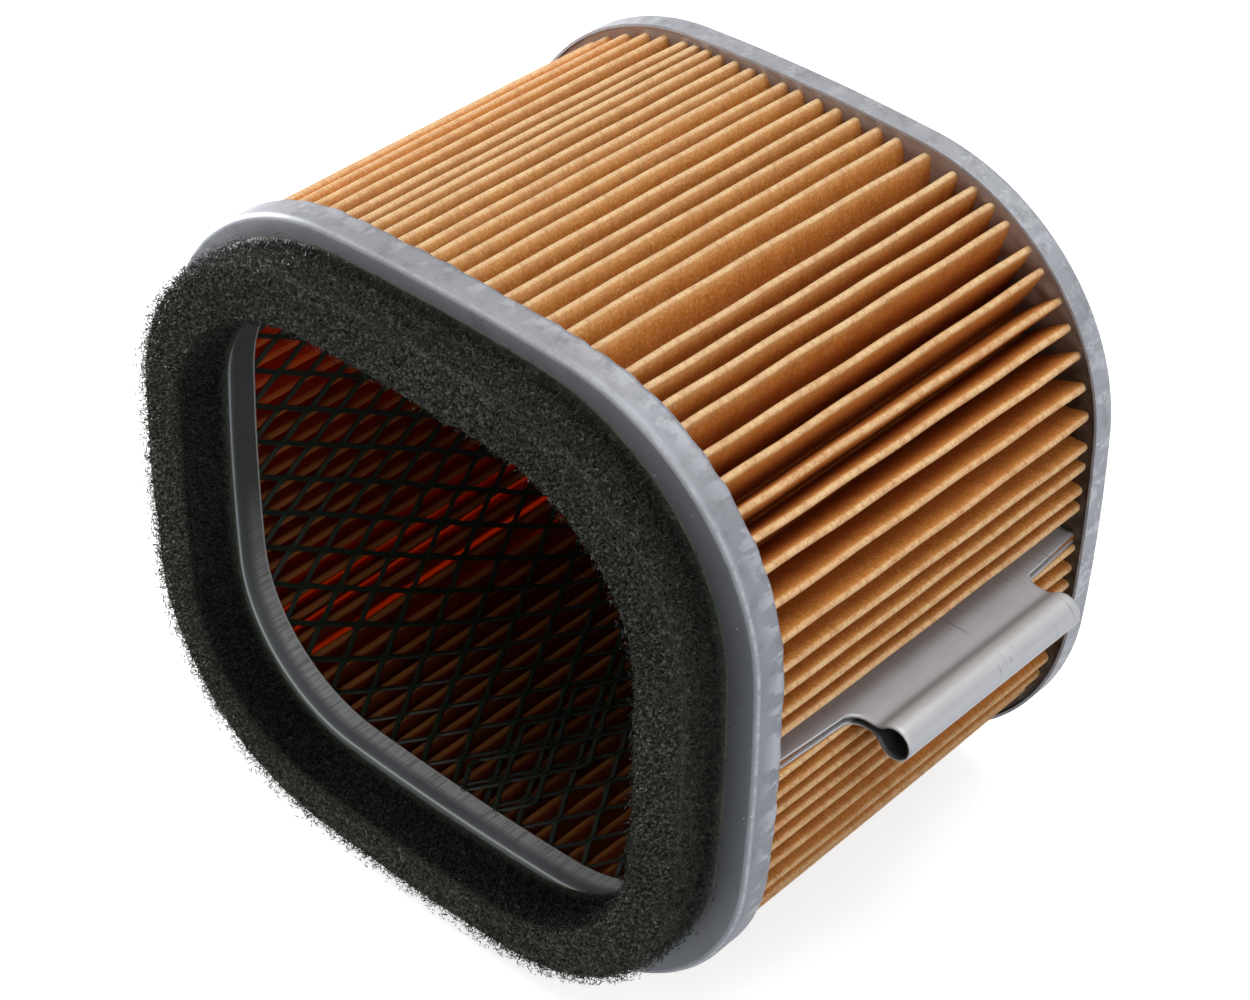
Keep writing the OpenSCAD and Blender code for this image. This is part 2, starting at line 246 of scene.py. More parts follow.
class Outline:
    # nine arcs, counter-clockwise from the middle of the right side, seen from the front
    def __init__(self, halfWidth, halfHeight, cornerRadius, shift=(0, 0)):
        side = math.radians(outlineSettings["sideTurn"])
        top = math.radians(outlineSettings["topTurn"])
        r, k = cornerRadius, math.tan(top / 2)
        sideRadius = ((halfHeight - r + r * math.sin(side) - (halfWidth - r * math.cos(side)) * k)
                      / (math.sin(side) - (1 - math.cos(side)) * k))
        topRadius = r + (halfWidth - r * math.cos(side) - sideRadius * (1 - math.cos(side))) / math.sin(top)
        sideX, topZ = halfWidth - sideRadius, halfHeight - topRadius
        x, z = sideX + (sideRadius - r) * math.cos(side), (sideRadius - r) * math.sin(side)
        half = math.pi / 2
        self.centres = np.array([[sideX, 0], [x, z], [0, topZ], [-x, z], [-sideX, 0], [-x, -z],
                                 [0, -topZ], [x, -z], [sideX, 0]]) + np.array(shift)
        self.radii = np.array([sideRadius, r, topRadius, r, sideRadius, r, topRadius, r, sideRadius])
        self.angles = np.array([0, side, half - top, half + top, 2 * half - side, 2 * half + side,
                                3 * half - top, 3 * half + top, 4 * half - side, 4 * half])

    def arcLengths(self, inset):
        return (self.radii - inset) * np.diff(self.angles)

    def length(self, inset=0.0):
        return self.arcLengths(inset).sum()

    def stations(self, distances, inset=0.0):
        # arc centre, radius and direction at distances along the outline at an inset
        ends = np.concatenate([[0], np.cumsum(self.arcLengths(inset))])
        distances = np.asarray(distances) % ends[-1]
        arc = np.clip(np.searchsorted(ends, distances, side="right") - 1, 0, len(self.radii) - 1)
        angle = self.angles[arc] + (distances - ends[arc]) / (self.radii[arc] - inset)
        return {"centre": self.centres[arc], "radius": self.radii[arc], "angle": angle}

    def around(self, count):
        return self.stations(np.linspace(0, self.length(), count, endpoint=False))


def inPlane(stations, inset):
    # x and z of points at an inset: one number, or an array with the stations' shape or one more axis
    extra = np.ndim(inset) - np.ndim(stations["angle"])
    angle, radius, centre = stations["angle"], stations["radius"], stations["centre"]
    if extra == 1:
        angle, radius, centre = angle[..., None], radius[..., None], centre[..., None, :]
    reach = radius - inset
    return centre[..., 0] + reach * np.cos(angle), centre[..., 1] + reach * np.sin(angle)


def sweep(name, stations, inset, y, material, attributes=None):
    # inset and y are arrays of stations by section points
    x, z = inPlane(stations, inset)
    points = np.stack([x, np.broadcast_to(y, x.shape), z], -1).reshape(-1, 3)
    return makeMesh(name, points, [gridFaces(*x.shape, True, True)], material, attributes)


def unit(vectors):
    return vectors / np.linalg.norm(vectors, axis=1, keepdims=True)


def arcPoints(centre, radius, first, last, steps):
    turn = np.radians(np.linspace(first, last, steps + 1))
    return [(centre[0] + radius * math.cos(a), centre[1] + radius * math.sin(a)) for a in turn]


def fillIn(section, step):
    # puts points on a section's long straight stretches
    filled = []
    for a, b in zip(section, section[1:] + section[:1]):
        n = max(1, round(math.dist(a, b) / step))
        filled += [(a[0] + (b[0] - a[0]) * k / n, a[1] + (b[1] - a[1]) * k / n) for k in range(n)]
    return np.array(filled)


frontBox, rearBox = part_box("front_end_cap"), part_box("rear_end_cap")
foamBox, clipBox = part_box("foam_seal"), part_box("seam_clip")
screenBox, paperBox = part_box("inner_screen"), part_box("pleated_paper")
frontY, rearY = frontBox[0].y, rearBox[1].y
cap = Outline(frontBox[1].x, frontBox[1].z, outlineSettings["cornerRadius"])


cameraSettings = {
    "place": (272.89 * mm, -361.20 * mm, 319.18 * mm),
    "right": (0.741818, 0.670148, 0.024650),
    "up": (-0.425201, 0.441615, 0.790051),
    "lens": 88.1,
    "sensor": 36.0,
    "clip": (0.01, 10),
}


def addCamera():
    data = bpy.data.cameras.new("camera")
    data.lens = cameraSettings["lens"]
    data.sensor_width = cameraSettings["sensor"]
    data.clip_start, data.clip_end = cameraSettings["clip"]
    camera = addObject("camera", data)
    right = Vector(cameraSettings["right"]).normalized()
    up = Vector(cameraSettings["up"])
    up = (up - right * up.dot(right)).normalized()
    back = right.cross(up)
    turn = Matrix((right, up, back)).transposed()
    camera.matrix_world = Matrix.Translation(cameraSettings["place"]) @ turn.to_4x4()
    bpy.context.scene.camera = camera


addCamera()
print("camera ready")


capSettings = {
    "sheet": 0.5 * mm,
    "bend": 1.2 * mm,
    "channel": 14.6 * mm,
    "stations": 900,
    "sectionStep": 0.8 * mm,
    "bendSteps": 7,
    "edgeWander": 0.17 * mm,   # how far the flange's cut edge runs out
    "edgeTrim": 0.3 * mm,      # the cut edge is drawn back this far, less what it runs out
    "drawWave": 0.05 * mm,     # shallow waves that the press leaves in the flange
    "flangeZone": 0.9 * mm,    # what lies within this inset is flange, below the bend
    "bendDepth": 0.3 * mm,
    "wallZone": 1.1 * mm,      # what is this near the inner wall is collar, the face is further from both
    "faceDepth": 0.2 * mm,
    "bead": (0.30 * mm, 0.62 * mm),    # depths of the painted highlight line where the collar begins
    "wornFrom": 2.4 * mm,      # depth from which the collar is worn, and over which the wear grows
    "wornOver": 1.4 * mm,
    "paintedLightHeight": 36 * mm,     # the worn band is painted brighter downwards, painted light where the collar faces up, nearly full this far below the middle
    "lip": 0.35 * mm,          # width of the painted highlight at the collar's edge
    "ridge": (0.20 * mm, 0.50 * mm),   # insets of the painted highlight on the bend between face and flange
    "bendHighlightDepth": 0.60 * mm,
    "dark": (0.180, 0.192, 0.222),
    "light": (0.250, 0.264, 0.300),
}


def capSteel(wear=None):
    # wear stands in for the flange attribute on a piece that has none
    f = Finish("cap_steel")
    blotches = f.noise(55, 4, 0.6)
    fine = f.noise(1500, 3, 0.65)
    specks = f.cells(620)
    drawn = f.streaks((290, 130, 290), (0.0, 0.55, 0.6))
    flange, collar = wear or f.attribute("flange"), f.attribute("collar")
    height = f.position()[2]
    # how far out the surface faces: over 60 mm on the flange's outside, under -60 mm on its inside
    facing = f.add("ShaderNodeNewGeometry", output="Normal")
    outward = f.add("ShaderNodeVectorMath", {"operation": "DOT_PRODUCT"}, {0: f.place, 1: facing}, "Value")
    base = f.blend(f.limits(blotches, 0.3, 0.7), capSettings["dark"], capSettings["light"])
    patches = f.limits(drawn, 0.50, 0.55) * f.limits(flange, 0.25, 0.75)
    if wear:
        patches = patches * f.limits(f.noise(900, 3, 0.7), 0.40, 0.56)
        patches = patches * f.limits(outward, 0.0585, 0.0600, 0.35, 1.0)
    cover = patches * 0.45 + 0.28 if wear else patches * 0.52
    base = f.blend(cover, base, (0.48, 0.500, 0.550))
    # painted light: the steel is painted lighter towards the top
    base = f.blend(f.limits(height, 0.022, 0.060) * 0.30, base, (0.52, 0.51, 0.52))
    # painted shade on the face beside the foam
    base = f.blend(f.attribute("grime") * f.limits(blotches, 0.2, 0.6, 0.6, 1.0), base, (0.085, 0.092, 0.096))
    dirt = f.limits(f.noise(260, 4, 0.72), 0.50, 0.70)
    base = f.blend(dirt * 0.42, base, (0.125, 0.130, 0.142))
    # a painted highlight runs along the bend between face and flange, broken up by noise
    highlightBreakup = f.limits(f.noise(520, 4, 0.75), 0.38, 0.60, 0.25, 1.0)
    base = f.blend(f.attribute("ridge") * highlightBreakup * 0.50, base, (0.56, 0.58, 0.62))
    # potting has crept up the inner side of the flange
    base = f.blend(f.limits(outward, -0.0590, -0.0604) * 0.94, base, (0.050, 0.034, 0.024))
    # painted glints: small bright specks on the steel
    spark = f.limits(specks, 0.14, 0.06) * f.limits(f.noise(150, 3, 0.6), 0.54, 0.64)
    base = f.blend(spark * 0.55, base, (0.70, 0.72, 0.76))
    # the collar is dull and painted dark, painted shade inside the opening, lighter at the bottom where it
    # faces up to the light: painted light; it is scored across its worn rear edge
    scores = f.streaks((2300, 90, 2300))
    under = f.limits(height, -0.005, -0.040)
    base = f.blend(collar * (0.93 - under * 0.38), base, (0.050, 0.056, 0.050))
    # painted highlight along the bead where the collar begins, strongest at the bottom where it faces up
    base = f.blend(f.attribute("bead") * (0.12 + under * 0.78), base, (0.50, 0.53, 0.49))
    lip = f.attribute("lip")
    # the worn, scored band, painted brighter towards the bottom: wear and painted light
    wearAndSheen = f.limits(lip, 0.0, 1.0) * f.limits(scores, 0.36, 0.56, 0.35, 1.0)
    base = f.blend(wearAndSheen * 0.80, base, (0.52, 0.53, 0.53))
    # painted highlight along the collar's very edge
    base = f.blend(f.limits(lip, 1.1, 1.5) * 0.8, base, (0.52, 0.53, 0.52))
    roughness = f.limits(fine * 0.6 + blotches, 0.5, 1.1, 0.46, 0.62) - patches * 0.04
    normal = f.bump(fine, 0.02 * mm, 0.5)
    normal = f.bump(drawn * flange, 0.22 * mm, 0.7, normal)
    return f.surface(f.principled(colour=base, metallic=0.40 - collar * 0.34, roughness=roughness,
                                  normal=normal, specular=0.30))


def channelSection(depth):
    # inset and y round the section of the pressed channel: flange outside, collar inside
    t, r, w = capSettings["sheet"], capSettings["bend"], capSettings["channel"]
    steps = capSettings["bendSteps"]
    outer = [(0, depth)] + arcPoints((r, r), r, 180, 270, steps)
    outer += arcPoints((w - r, r), r, 270, 360, steps)
    outer += [(w, depth - 0.40 * mm), (w, depth - 0.30 * mm), (w, depth)]
    inner = [(w - t, depth)] + arcPoints((w - r, r), r - t, 360, 270, steps)
    inner += arcPoints((r, r), r - t, 270, 180, steps) + [(t, depth)]
    return [(inset, frontY + down) for inset, down in outer + inner]


def addFrontCap():
    s = capSettings
    full = frontBox[1].y - frontBox[0].y
    stations = cap.around(s["stations"])
    points = fillIn(channelSection(full), s["sectionStep"])
    inset = np.tile(points[:, 0], (s["stations"], 1))
    y = np.tile(points[:, 1], (s["stations"], 1))
    x, z = inPlane(stations, inset)
    depth = y - frontY
    onFlange = (inset < s["flangeZone"]) & (depth > s["bendDepth"])
    toEdge = np.clip(depth / full, 0, 1) * onFlange
    # the cut edge wanders and the flange has shallow waves
    wander = smoothNoise((x, z), 3, 14, 6 * mm) * s["edgeWander"]
    y = y + toEdge ** 3 * (np.minimum(wander, s["edgeTrim"]) - s["edgeTrim"])
    wave = smoothNoise((x, z, y * 0.6), 5, 16, 7 * mm)
    inset = inset + np.abs(wave) * toEdge * s["drawWave"]
    nearWall = inset > s["channel"] - s["wallZone"]
    bead = nearWall * (depth > s["bead"][0]) * (depth < s["bead"][1])
    onCollar = nearWall * (1 - bead)
    # the collar's rear half is worn and painted brighter towards the bottom, painted light where it faces up,
    # with a painted highlight along its very edge
    wearAndSheen = np.clip((depth - s["wornFrom"]) / s["wornOver"], 0, 1)
    lip = onCollar * wearAndSheen * np.clip(-0.1 - z / s["paintedLightHeight"], 0.03, 0.95)
    lip = np.maximum(lip, onCollar * (depth > full - s["lip"]) * 1.6)
    # painted shade: the face beside the foam is painted darker, most on the right
    onFace = (inset > s["wallZone"]) * (inset < s["channel"] - s["wallZone"]) * (depth < s["faceDepth"])
    grime = onFace * (0.25 + 0.55 * np.clip(np.cos(stations["angle"]), 0, 1)[:, None])
    ridge = (inset > s["ridge"][0]) * (inset < s["ridge"][1]) * (depth < s["bendHighlightDepth"])
    values = {"flange": toEdge, "collar": onCollar, "bead": bead, "lip": lip, "grime": grime, "ridge": ridge}
    piece = sweep("front_cap_shell", stations, inset, y, capSteel(), values)
    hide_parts("front_end_cap")


addFrontCap()
dress("rear_end_cap", capSteel(wear=1.0))
print("caps pressed")


paperSettings = {
    "thickness": 0.4 * mm,
    "pitches": 92,             # the seam clip takes the place of one pleat
    "tipInset": 1.2 * mm,
    "foldRadius": 0.65 * mm,
    "rootGap": 0.2 * mm,
    "screenRoom": 0.6 * mm,    # what the screen takes up between the roots and the collar
    "seamDrop": 0.9 * mm,
    "seamGap": 0.1 * mm,
    "leafOuter": 64 * mm,
    "leafWidth": 6 * mm,
    "leafEnd": 0.5 * mm,       # the paper's ends stop this far short of the leaves' outer ends
    "seamOffset": 1.15 * mm,
    "wander": 0.35 * mm,
    "wanderWaves": ((0.6, 67, 0), (0.4, 151, 40)),   # share, degrees from pleat to pleat, first angle
    "lean": 0.85 * mm,
    "push": 3.3 * mm,          # how far the bunches of pleats are pushed along the ring
    "bunch": 13.66,            # pleats in a bunch
    "firstBunch": 1.49,
    "bunchShares": (1.0, 1.3, -1.35),   # of the push, for the first three bunches; the rest have 1
    "bunchPower": 0.7,
    "rootShare": 0.5,
    "slant": 0.36 * mm,        # front ends of the tips are further round than their rear ends
    "rows": 54,
    "endRows": 9,
    "foldPoints": 8,
    "rootPoints": 4,
    "flankPoints": 5,
    "bulge": 0.16 * mm,
    "tipDrift": 0.10 * mm,
    "tipDip": 0.12 * mm,
    "lastTip": 0.1 * mm,       # the last tip leans back by up to twice this, to clear the clip
    "ripple": 0.05 * mm,
    "endPinch": 0.35 * mm,     # how far the folds' rear ends draw in where they meet the potting
    "pinchLength": 1.0 * mm,
    "rearSink": 0.45 * mm,     # the folds lie this much deeper at the rear
    "tones": [(0.0, (0.44, 0.110, 0.012)), (0.4, (0.57, 0.180, 0.026)),     # from root to crest: painted shade in the valleys, up to a painted highlight on the crests
              (0.8, (0.655, 0.248, 0.045)), (0.925, (0.685, 0.305, 0.075)),
              (0.962, (0.75, 0.475, 0.215)), (1.0, (0.79, 0.575, 0.325))],
    "insideShade": (0.056, 0.014, 0.0040),
}


def filterPaper():
    f = Finish("filter_paper")
    tone, inside, deep = f.attribute("tone"), f.attribute("inside"), f.attribute("depth")
    grain = f.noise(2100, 3, 0.65)
    fibres = f.noise(1100, 3, 0.7, distortion=0.8)
    streaks = f.streaks((150, 620, 150), (0.35, 0.0, 0.35))
    clouds = f.noise(260, 4, 0.65)
    # the crests are painted pale, a painted highlight, and the orange flanks are painted darker towards the
    # roots, painted shade in the valleys
    depth = deep + (fibres - 0.5) * 0.05 + (clouds - 0.5) * 0.03
    base = f.ramp(depth, paperSettings["tones"])
    base = f.blend(f.limits(clouds, 0.42, 0.62) * 0.30, base, (0.50, 0.155, 0.024))
    base = f.blend(f.limits(streaks, 0.50, 0.62) * 0.30, base, (0.36, 0.105, 0.015))
    base = f.blend(f.limits(grain, 0.49, 0.36) * 0.50, base, (0.40, 0.120, 0.014))
    base = f.blend(f.limits(grain, 0.53, 0.66) * 0.36, base, (0.90, 0.62, 0.32))
    base = f.blend(f.limits(fibres, 0.57, 0.66) * 0.34, base, (0.58, 0.170, 0.022))
    base = f.blend(tone * 0.12, base, (0.46, 0.17, 0.04))
    # the upper crests are painted paler, painted light from above, and the under side is painted darker,
    # painted shade
    x, _, z = f.position()
    paintedTopLight = f.limits(z, 0.044, 0.060) * f.limits(depth, 0.80, 0.95)
    base = f.blend(paintedTopLight * 0.20, base, (0.84, 0.67, 0.42))
    base = f.blend(f.limits(z, 0.0, -0.045) * 0.28, base, (0.24, 0.11, 0.035))
    # the inner side is painted dark, painted shade inside the element, less so low on the right, painted
    # light that comes in through the opening; its folds get a painted highlight
    openingLight = f.limits(x - z + clouds * 0.02, 0.045, 0.090) * 0.62
    base = f.blend(inside * (0.92 - openingLight), base, paperSettings["insideShade"])
    base = f.blend(inside * f.limits(deep, 0.012, 0.0) * 0.50, base, (0.34, 0.18, 0.05))
    height = fibres * 0.8 + grain * 0.7 + streaks * 0.3
    normal = f.bump(height, 0.10 * mm, 0.8)
    paper = f.principled(colour=base, roughness=0.9, normal=normal, specular=0.15)
    outerThrough = f.add("ShaderNodeBsdfTranslucent", {}, {"Color": (0.95, 0.34, 0.07, 1)}, "BSDF")
    innerThrough = f.add("ShaderNodeBsdfTranslucent", {}, {"Color": (0.95, 0.14, 0.012, 1)}, "BSDF")
    through = f.add("ShaderNodeMixShader", {}, {"Fac": inside, 1: outerThrough, 2: innerThrough}, "Shader")
    return f.surface(f.add("ShaderNodeMixShader", {},
                           {"Fac": 0.18 + inside * 0.17, 1: paper, 2: through}, "Shader"))


def foldCentres(y):
    # centres of the folds, root, tip, root ... root, at every y: arrays of folds by rows
    p = paperSettings
    screenOuter = capSettings["channel"] - capSettings["sheet"] - p["screenRoom"]
    rootInset = screenOuter - p["rootGap"] - p["foldRadius"]
    tipInset = p["tipInset"] + p["foldRadius"]
    length = cap.length(rootInset)
    k = np.arange(1, 2 * p["pitches"])
    isTip = k % 2 == 0
    n = k / 2
    s = n * length / p["pitches"]
    # the folds stand in bunches, and each tip wanders a little
    phase = (n - p["firstBunch"]) / p["bunch"]
    number = np.floor(phase).astype(int)
    shares = np.array(p["bunchShares"])
    known = (number >= 0) & (number < len(shares))
    share = np.where(known, shares[np.clip(number, 0, len(shares) - 1)], 1.0)
    fade = 1 - (n / p["pitches"]) ** 2
    push = p["push"] * share * fade * np.abs(np.sin(math.pi * phase)) ** p["bunchPower"]
    j = np.radians(n)
    wander = p["wander"] * sum(share * np.sin(j * step + math.radians(first))
                               for share, step, first in p["wanderWaves"])
    s = s + push * np.where(isTip, 1, p["rootShare"]) + np.where(isTip, p["lean"] + wander, 0)
    rng = np.random.default_rng(11)
    along = (y - paperBox[0].y) / (paperBox[1].y - paperBox[0].y) * 2 - 1
    drift = rng.normal(size=(2, len(k), 1)) * p["tipDrift"]
    swing = np.sin(along * 1.6 + rng.uniform(0, 6.28, (len(k), 1))) * p["tipDrift"]
    ripple = np.sin(along * 11 + rng.uniform(0, 6.28, (len(k), 1))) * p["ripple"]
    offset = drift[0] + drift[1] * along + swing + ripple - p["slant"] * along
    offset[-2] = -p["lastTip"] * (1 + along)
    s = s[:, None] + isTip[:, None] * offset + p["seamOffset"] - p["seamDrop"]
    pinch = np.clip((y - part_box("rear_potting")[0].y + p["pinchLength"]) / p["pinchLength"], 0, 1)
    pinch = p["endPinch"] * (1 - np.sqrt(np.clip(1 - pinch ** 2, 0, 1)))
    dip = rng.uniform(0, 1, (len(k), 1)) * p["tipDip"] + pinch * rng.uniform(0.2, 1.3, (len(k), 1)) ** 2
    dip = dip + p["rearSink"] * ((along + 1) / 2) ** 2
    inset = np.where(isTip[:, None], tipInset + dip, rootInset)
    stations = cap.stations(s, rootInset)
    x, z = inPlane(stations, inset)
    return x + 1j * z, isTip


def paperPath(y):
    # middle line of the paper, as complex numbers x + iz, with headings: points by rows. depth runs
    # from 0 at a root over 0.94 at the foot of a tip to 1 on its crest, and tone is one pleat's own
    p = paperSettings
    centres, isTip = foldCentres(y)
    c = p["foldRadius"] - p["thickness"] / 2
    sign = np.where(isTip, 1.0, -1.0)
    half = (p["thickness"] + p["seamGap"]) / 2
    start = complex(p["leafOuter"] - p["leafWidth"], half - p["seamDrop"])
    end = complex(p["leafOuter"] - p["leafWidth"], -half - p["seamDrop"])
    v = centres[1:] - centres[:-1]
    lean = np.arcsin(2 * c / np.abs(v)) * -sign[:-1, None]
    heading = np.angle(v) + lean
    first = centres[0] - start
    last = end - centres[-1]
    headFirst = np.angle(first) + np.arcsin(c / np.abs(first))
    headLast = np.angle(last) - np.arcsin(c / np.abs(last))
    heading = np.concatenate([headFirst[None], heading, headLast[None]])
    rng = np.random.default_rng(23)
    out = complex(p["leafOuter"] - p["leafEnd"], half - p["seamDrop"])
    line = [(np.full(len(y), out), np.full(len(y), math.pi), 0.9, 0.5),
            (np.full(len(y), start), headFirst, 0.6, 0.5)]
    tones = rng.uniform(0, 1, len(centres) + 1)
    for i in range(len(centres)):
        turn = heading[i + 1] - heading[i]
        turn = np.mod(turn, 2 * math.pi) if isTip[i] else -np.mod(-turn, 2 * math.pi)
        count = p["foldPoints"] if isTip[i] else p["rootPoints"]
        for k in range(count + 1):
            head = heading[i] + turn * k / count
            normal = 1j * np.exp(1j * head)
            spot = centres[i] - sign[i] * c * normal
            deep = 0.94 + 0.06 * math.sin(math.pi * k / count) ** 0.5 if isTip[i] else 0.0
            line.append((spot, head, deep, tones[i // 2]))
        if i + 1 < len(centres):
            # the flank, slightly bulged
            a = centres[i] - sign[i] * c * 1j * np.exp(1j * heading[i + 1])
            b = centres[i + 1] + sign[i] * c * 1j * np.exp(1j * heading[i + 1])
            bulge = rng.normal() * p["bulge"] * np.cos(np.linspace(-1.2, 1.2, len(y)) + rng.uniform(-1, 1))
            for k in range(1, p["flankPoints"] + 1):
                u = k / (p["flankPoints"] + 1)
                u = u - 0.06 * math.sin(2 * math.pi * u)
                spot = a + (b - a) * u + bulge * math.sin(math.pi * u) * 1j * np.exp(1j * heading[i + 1])
                deep = (u if not isTip[i] else 1 - u) * 0.93 + 0.01
                line.append((spot, heading[i + 1], deep, tones[i // 2]))
    out = out.conjugate() - 2j * p["seamDrop"]
    line += [(np.full(len(y), end), headLast, 0.6, 0.5), (np.full(len(y), out), np.zeros(len(y)), 0.9, 0.5)]
    return [np.array(column) for column in zip(*line)]


def addPaper():
    p = paperSettings
    # the rows stand closer where the folds' ends draw in
    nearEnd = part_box("rear_potting")[0].y - 1.1 * p["pinchLength"]
    y = np.concatenate([np.linspace(paperBox[0].y, nearEnd, p["rows"], endpoint=False),
                        np.linspace(nearEnd, paperBox[1].y, p["endRows"] + 6)])
    path, heading, depth, tone = paperPath(y)
    normal = 1j * np.exp(1j * heading) * p["thickness"] / 2
    loop = np.concatenate([path + normal, (path - normal)[::-1]])
    columns, rows = loop.shape
    n = columns // 2
    points = np.stack([loop.real, np.broadcast_to(y, loop.shape), loop.imag], -1)
    values = {"depth": np.repeat(np.concatenate([depth, depth[::-1]]), rows),
              "tone": np.repeat(np.concatenate([tone, tone[::-1]]), rows),
              "inside": np.repeat(np.repeat([1.0, 0.0], n), rows)}
    piece = makeMesh("folded_paper", points.reshape(-1, 3), sheetFaces(columns, rows), filterPaper(),
                     values)
    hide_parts("pleated_paper")


addPaper()
print("paper folded")


pottingSettings = {
    "step": 0.5 * mm,
    "meniscus": 0.35 * mm,
    "reach": 0.45 * mm,
    "lumps": 0.12 * mm,
    "paperClimb": 0.8,         # share of the meniscus at the paper, and at the channel's walls
    "wallClimb": 0.7,
    "level": 0.25 * mm,        # the open surface lies this far under the solid's
    "highest": 0.45 * mm,
    "slice": 0.1 * mm,         # half the height over which the paper's line is read
    "floorGap": 0.7 * mm,      # from a cap's outer face to the hidden side of the potting
    "dark": (0.032, 0.021, 0.013),
    "light": (0.095, 0.064, 0.044),
    "upper": (0.43, 0.32, 0.275),
}


def pottingCompound():
    f = Finish("potting")
    lumps = f.noise(300, 4, 0.6)
    specks = f.cells(520)
    base = f.blend(f.limits(lumps, 0.35, 0.7), pottingSettings["dark"], pottingSettings["light"])
    # it is paler along the upper side
    base = f.blend(f.limits(f.position()[2], 0.030, 0.052) * 0.80, base, pottingSettings["upper"])
    base = f.blend(f.limits(specks, 0.13, 0.07) * f.limits(lumps, 0.50, 0.60), base, (0.62, 0.58, 0.54))
    normal = f.bump(lumps + f.noise(1400, 2) * 0.3, 0.25 * mm, 0.7)
    return f.surface(f.principled(colour=base, roughness=f.limits(lumps, 0.3, 0.7, 0.36, 0.62),
                                  normal=normal, specular=0.35))


def addPotting(name, node, floor, surface, material):
    # a ring between the flange and the collar whose free surface climbs the paper a little
    s = pottingSettings
    outer, inner = capSettings["sheet"], capSettings["channel"] - capSettings["sheet"]
    count = round(cap.length() / s["step"])
    stations = cap.around(count)
    across = np.linspace(outer, inner, round((inner - outer) / s["step"]))
    inset = np.tile(across, (count, 1))
    x, z = inPlane(stations, inset)
    path = paperPath(np.array([surface - s["slice"], surface + s["slice"]]))[0][:, 0]
    tree = KDTree(len(path))
    for i, spot in enumerate(path):
        tree.insert((spot.real, spot.imag, 0), i)
    tree.balance()
    far = np.array([tree.find((a, b, 0))[2] for a, b in zip(x.ravel(), z.ravel())]).reshape(x.shape)
    wall = np.minimum(inset - outer, inner - inset)
    climb = np.exp(-far / s["reach"]) * s["paperClimb"] + np.exp(-wall / s["reach"]) * s["wallClimb"]
    height = s["meniscus"] * np.minimum(climb, 1) - s["level"]
    height = height + smoothNoise((x, z), 8, 16, 4 * mm) * s["lumps"]
    top = surface + np.sign(surface - floor) * np.minimum(height, s["highest"])
    insetAll = np.concatenate([inset, np.full((count, 1), inner), np.full((count, 1), outer)], 1)
    yAll = np.concatenate([top, np.full((count, 2), floor)], 1)
    piece = sweep(name, stations, insetAll, yAll, material)
    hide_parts(node)


compound = pottingCompound()
gap = pottingSettings["floorGap"]
addPotting("rear_potting_bead", "rear_potting", rearY - gap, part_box("rear_potting")[0].y, compound)
addPotting("front_potting_bead", "front_potting", frontY + gap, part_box("front_potting")[1].y, compound)
print("potting poured")


screenSettings = {
    "columns": 45,
    "pitch": 13.4 * mm,
    "strand": 1.18 * mm,
    "thickness": 0.45 * mm,
    "tilt": 38.0,
    "lap": 14.5 * mm,
    "lapLeft": -6.6 * mm,
    "stepsPerPitch": 12,
    "flatTurn": 1.25,          # over 1, the strands run straight for a bit where two are joined
    "joint": 0.20,             # of its width, how far a strand's middle stops short of a joint
    "slim": 0.86,              # a strand's width, as a share of the named one
    "louvre": 0.55,            # how much of the tilt stands out of the sheet
    "wallGap": 0.08 * mm,      # between the screen and the channel's wall
    "lapShift": 0.30,          # of a mesh, between the two layers of the lap
    "lapDepth": 0.55 * mm,     # how much deeper the second layer lies
    "dark": (0.0050, 0.0080, 0.0045),
    "light": (0.0085, 0.0130, 0.0072),
}


def screenPaint():
    f = Finish("screen_paint")
    runs = f.noise(400, 3, 0.6)
    base = f.blend(f.limits(runs, 0.35, 0.7), screenSettings["dark"], screenSettings["light"])
    # painted highlight on the strands' inner faces
    base = f.blend(f.attribute("edge") * 0.30, base, (0.030, 0.044, 0.027))
    # the strands are painted grey low on the right: painted light that comes in through the opening
    x, _, z = f.position()
    base = f.blend(f.limits(x - z + runs * 0.02, 0.050, 0.100) * 0.55, base, (0.085, 0.095, 0.082))
    normal = f.bump(runs, 0.03 * mm, 0.4)
    return f.surface(f.principled(colour=base, roughness=f.limits(runs, 0.3, 0.7, 0.36, 0.50),
                                  normal=normal, specular=0.26))


